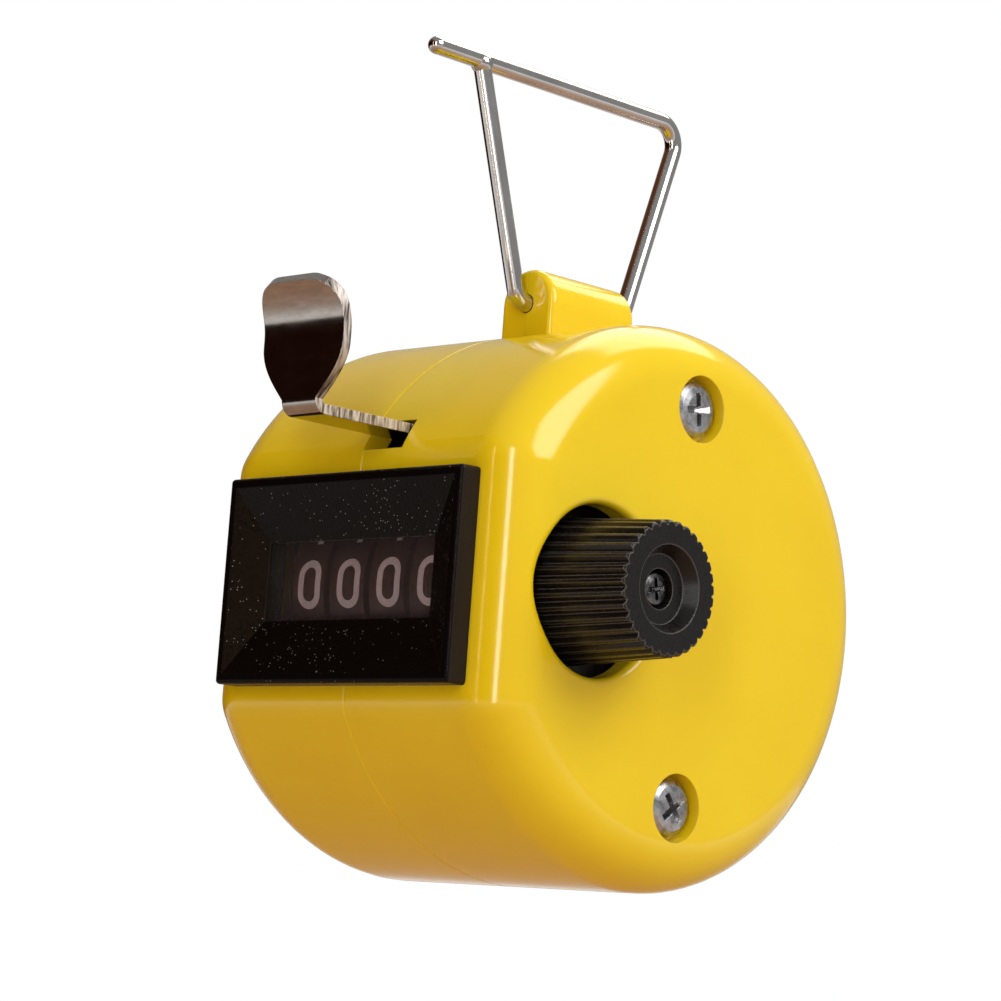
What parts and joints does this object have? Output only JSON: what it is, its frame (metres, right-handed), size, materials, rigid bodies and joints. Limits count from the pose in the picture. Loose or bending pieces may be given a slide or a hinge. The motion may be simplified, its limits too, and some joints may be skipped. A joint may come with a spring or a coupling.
{
  "type": "hand tally counter",
  "caption": "Round two-shell hand tally counter with a framed number display, thumb lever, fluted reset knob and wire finger ring.",
  "frame": {"origin": "centre of the plain flat side face, on the drum axis", "axes": "+X from the plain side face along the drum axis to the reset knob, -Y to the display, +Z to the finger ring"},
  "size_m": [0.0422, 0.0545, 0.0687],
  "materials": {
    "yellow_abs": "moulded gloss ABS",
    "black_abs": "moulded ABS with a fine grained frame",
    "clear_pane": "clear moulded styrene",
    "zinc_screw": "zinc-plated steel",
    "chrome_wire": "nickel-chrome plated steel wire",
    "nickel_sheet": "nickel-plated steel sheet",
    "bright_steel": "drawn steel",
    "spring_steel": "hardened spring steel",
    "black_knob": "moulded ABS, semi-gloss",
    "black_screw": "black-oxide steel",
    "white_acetal": "moulded acetal",
    "frame_sheet": "zinc-plated sheet steel",
    "wheel_plastic": "dark brown moulded styrene with printed numerals"
  },
  "bodies": {
    "root": {"left_casing": "yellow_abs", "right_casing": "yellow_abs", "display_bezel": "black_abs", "display_window": "clear_pane", "casing_screws": "zinc_screw", "lever_pivot_pin": "bright_steel", "lever_return_spring": "spring_steel", "detent_spring": "spring_steel", "detent_screw": "zinc_screw", "pinion_shaft": "bright_steel", "left_frame_plate": "frame_sheet", "right_frame_plate": "frame_sheet", "frame_spacers": "bright_steel"},
    "lever": {"thumb_lever": "nickel_sheet", "pawl_pin": "bright_steel"},
    "pawl": {"drive_pawl": "bright_steel"},
    "reset_shaft": {"main_axle": "bright_steel", "axle_clip": "spring_steel", "thrust_washer": "white_acetal", "reset_knob": "black_knob", "knob_screw": "black_screw"},
    "units": {"units_wheel": "wheel_plastic", "ratchet_wheel": "white_acetal"},
    "tens": {"tens_wheel": "wheel_plastic"},
    "hundreds": {"hundreds_wheel": "wheel_plastic"},
    "thousands": {"thousands_wheel": "wheel_plastic"},
    "tens_carry": {"tens_pinion": "white_acetal"},
    "hundreds_carry": {"hundreds_pinion": "white_acetal"},
    "thousands_carry": {"thousands_pinion": "white_acetal"},
    "ring": {"finger_ring": "chrome_wire"}
  },
  "joints": [
    {"name": "lever_press", "type": "hinge", "parent": "root", "child": "lever", "pos_m": [0.01955, -0.014, 0.01], "axis": [1, 0, 0], "range_deg": [0, 10], "stiffness_Nm_per_rad": 0.02, "springref_deg": -20.05, "deforming": ["lever_return_spring"]},
    {"name": "pawl_swing", "type": "hinge", "parent": "lever", "child": "pawl", "pos_m": [0.0269, -0.0015, 0.0068], "axis": [1, 0, 0], "range_deg": [0, 8], "stiffness_Nm_per_rad": 0.002, "springref_deg": -11.46},
    {"name": "reset_turn", "type": "hinge", "parent": "root", "child": "reset_shaft", "pos_m": [0.0175, -0.0105, 0], "axis": [1, 0, 0], "continuous": true},
    {"name": "units_turn", "type": "hinge", "parent": "root", "child": "units", "pos_m": [0.0175, -0.0105, 0], "axis": [1, 0, 0], "continuous": true},
    {"name": "tens_turn", "type": "hinge", "parent": "root", "child": "tens", "pos_m": [0.0175, -0.0105, 0], "axis": [1, 0, 0], "continuous": true},
    {"name": "hundreds_turn", "type": "hinge", "parent": "root", "child": "hundreds", "pos_m": [0.0175, -0.0105, 0], "axis": [1, 0, 0], "continuous": true},
    {"name": "thousands_turn", "type": "hinge", "parent": "root", "child": "thousands", "pos_m": [0.0175, -0.0105, 0], "axis": [1, 0, 0], "continuous": true},
    {"name": "tens_carry_turn", "type": "hinge", "parent": "root", "child": "tens_carry", "pos_m": [0.0221, -0.00595, -0.00788], "axis": [1, 0, 0], "continuous": true},
    {"name": "hundreds_carry_turn", "type": "hinge", "parent": "root", "child": "hundreds_carry", "pos_m": [0.0175, -0.00595, -0.00788], "axis": [1, 0, 0], "continuous": true},
    {"name": "thousands_carry_turn", "type": "hinge", "parent": "root", "child": "thousands_carry", "pos_m": [0.0128, -0.00595, -0.00788], "axis": [1, 0, 0], "continuous": true},
    {"name": "ring_swing", "type": "hinge", "parent": "root", "child": "ring", "pos_m": [0.0175, 0.0018, 0.0257], "axis": [0, 1, 0], "range_deg": [-90, 90]}
  ],
  "couplings": [
    {"joint": "tens_turn", "follows": "units_turn", "ratio": 0.1},
    {"joint": "hundreds_turn", "follows": "units_turn", "ratio": 0.01},
    {"joint": "thousands_turn", "follows": "units_turn", "ratio": 0.001},
    {"joint": "tens_carry_turn", "follows": "units_turn", "ratio": -0.25},
    {"joint": "hundreds_carry_turn", "follows": "units_turn", "ratio": -0.025},
    {"joint": "thousands_carry_turn", "follows": "units_turn", "ratio": -0.0025}
  ]
}
